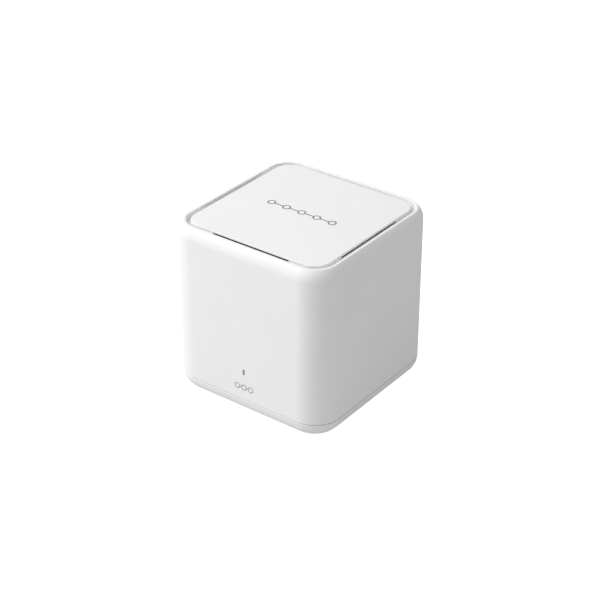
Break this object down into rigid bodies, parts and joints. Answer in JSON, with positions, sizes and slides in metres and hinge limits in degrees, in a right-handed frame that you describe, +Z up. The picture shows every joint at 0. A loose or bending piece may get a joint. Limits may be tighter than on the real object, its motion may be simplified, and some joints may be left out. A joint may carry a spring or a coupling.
{
  "type": "wireless router",
  "caption": "Cube-shaped white mesh wireless router with a sunk square top plate over side air gaps, a front status light and rear network and power sockets.",
  "frame": {"origin": "centre of the footprint, on the surface the rubber feet stand on", "axes": "+Z up, -Y towards the side with the status light, +Y towards the sockets, +X to the right seen from the front"},
  "size_m": [0.088, 0.088, 0.088],
  "materials": {
    "shell_plastic": "fine satin moulded ABS, white",
    "plate_plastic": "fine satin moulded ABS, white, with one pale grey printed mark",
    "base_plastic": "fine satin moulded ABS, white",
    "foot_rubber": "soft grey rubber, slightly rough",
    "label_film": "blank printed film with a border, no lettering",
    "screw_steel": "zinc-plated steel",
    "board_laminate": "green solder mask over glass laminate",
    "chip_epoxy": "black moulding compound",
    "pad_silicone": "soft grey-blue silicone pad",
    "sink_aluminium": "extruded aluminium, lightly brushed",
    "can_tin": "tin-plated steel sheet",
    "insert_plastic": "black glass-filled nylon",
    "contact_gold": "gold-plated spring wire",
    "pin_nickel": "nickel-plated brass",
    "key_plastic": "grey moulded plastic",
    "guide_acrylic": "smoked translucent acrylic, unlit",
    "lamp_resin": "pale yellow lamp resin",
    "frame_plastic": "dark grey moulded plastic",
    "antenna_laminate": "thin green antenna board",
    "lead_jacket": "black coaxial jacket",
    "capacitor_sleeve": "dark shrink sleeve"
  },
  "bodies": {
    "housing": {"antenna_back": "antenna_laminate", "antenna_frame": "frame_plastic", "antenna_front": "antenna_laminate", "antenna_leads": "lead_jacket", "antenna_left": "antenna_laminate", "antenna_plugs": "contact_gold", "antenna_right": "antenna_laminate", "base_cover": "base_plastic", "base_screws": "screw_steel", "board_screws": "screw_steel", "crystal": "can_tin", "ethernet_contacts_left": "contact_gold", "ethernet_contacts_right": "contact_gold", "ethernet_cover_left": "can_tin", "ethernet_cover_right": "can_tin", "ethernet_insert_left": "insert_plastic", "ethernet_insert_right": "insert_plastic", "flash_chip": "chip_epoxy", "heatsink": "sink_aluminium", "heatsink_screws": "screw_steel", "light_guide": "guide_acrylic", "line_transformer_left": "chip_epoxy", "line_transformer_right": "chip_epoxy", "main_board": "board_laminate", "memory_chip": "chip_epoxy", "outer_shell": "shell_plastic", "power_inductor": "chip_epoxy", "power_jack_body": "insert_plastic", "power_jack_leaf": "pin_nickel", "power_jack_pin": "pin_nickel", "processor_chip": "chip_epoxy", "radio_can_left": "can_tin", "radio_can_right": "can_tin", "rating_label": "label_film", "reset_switch_body": "insert_plastic", "reset_switch_dome": "pin_nickel", "rubber_feet": "foot_rubber", "status_lamp": "lamp_resin", "supply_capacitors": "capacitor_sleeve", "thermal_pad": "pad_silicone", "top_plate": "plate_plastic"},
    "reset_key": {"reset_button": "key_plastic", "reset_switch_stem": "insert_plastic"}
  },
  "joints": [
    {"name": "reset_press", "type": "slide", "parent": "housing", "child": "reset_key", "axis": [0, 1, 0], "range_m": [-0.0003, 0], "stiffness_N_per_m": 4000, "deforming": ["reset_switch_dome"]}
  ]
}
